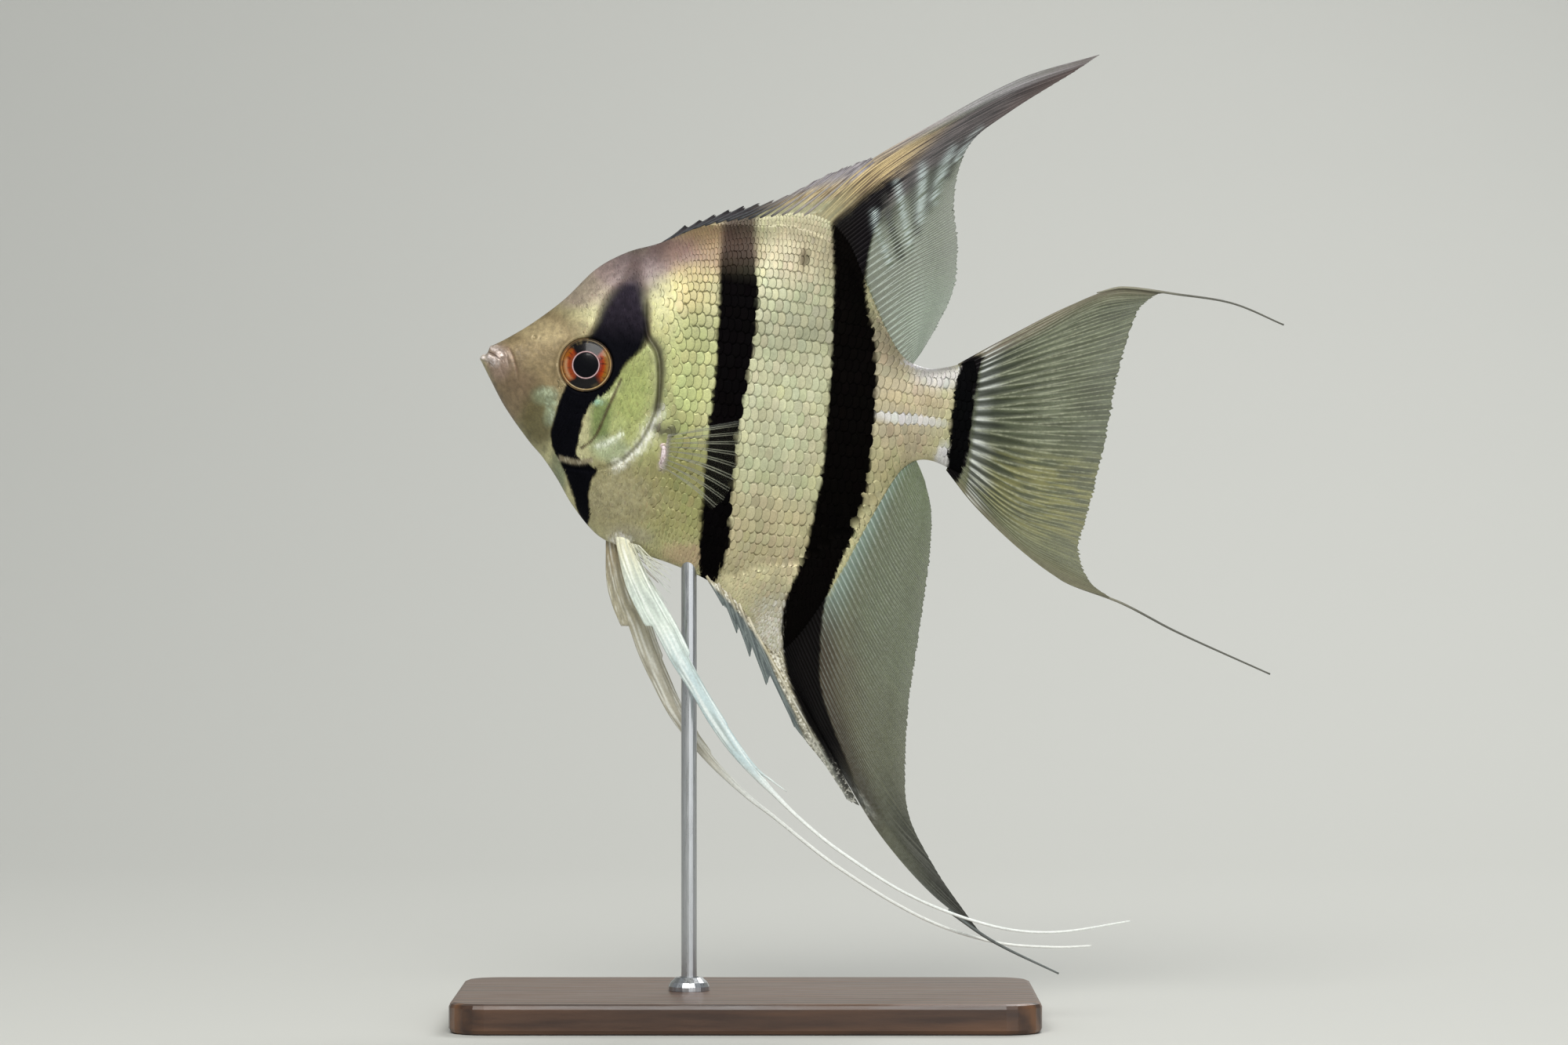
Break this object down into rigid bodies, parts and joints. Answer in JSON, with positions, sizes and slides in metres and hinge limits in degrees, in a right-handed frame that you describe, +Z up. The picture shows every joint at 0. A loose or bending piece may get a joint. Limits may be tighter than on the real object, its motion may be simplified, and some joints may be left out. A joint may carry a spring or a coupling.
{
  "type": "freshwater angelfish model",
  "caption": "Life-size museum model of a freshwater angelfish swimming nose up, its fins and long filaments spread, held by a short rod on a flat base.",
  "frame": {"origin": "centre of the stand base's underside, on the floor", "axes": "+Z up, -X the way the fish faces (its nose is tilted up by 7 degrees), -Y its left flank, which is the side that is seen"},
  "size_m": [0.1371, 0.054, 0.1601],
  "materials": {
    "silver_skin": "wet silvery scaled skin with a yellow-green cast and four dark upright bars",
    "lip_skin": "smooth, wet, pinkish grey skin",
    "eye": "clear wet eye with an orange-red iris and a black pupil",
    "fin_membrane": "thin, see-through fin skin on fine pale rays, with smoky bands",
    "pale_fin": "smooth, milky, slightly see-through fin rays",
    "stand_wood": "fine-grained dark wood with a satin varnish",
    "stand_steel": "brushed stainless steel"
  },
  "bodies": {
    "root": {"anal_fin": "fin_membrane", "dorsal_fin": "fin_membrane", "eye_left": "eye", "eye_right": "eye", "gill_cover_left": "silver_skin", "gill_cover_right": "silver_skin", "head": "silver_skin", "lower_jaw": "lip_skin", "pectoral_fin_left": "fin_membrane", "pectoral_fin_right": "fin_membrane", "pelvic_fin_left": "pale_fin", "pelvic_fin_right": "pale_fin", "stand_base": "stand_wood", "stand_collar": "stand_steel", "stand_rod": "stand_steel", "tail_fin": "fin_membrane", "tail_stalk": "silver_skin", "trunk": "silver_skin", "upper_jaw": "lip_skin"}
  },
  "joints": []
}
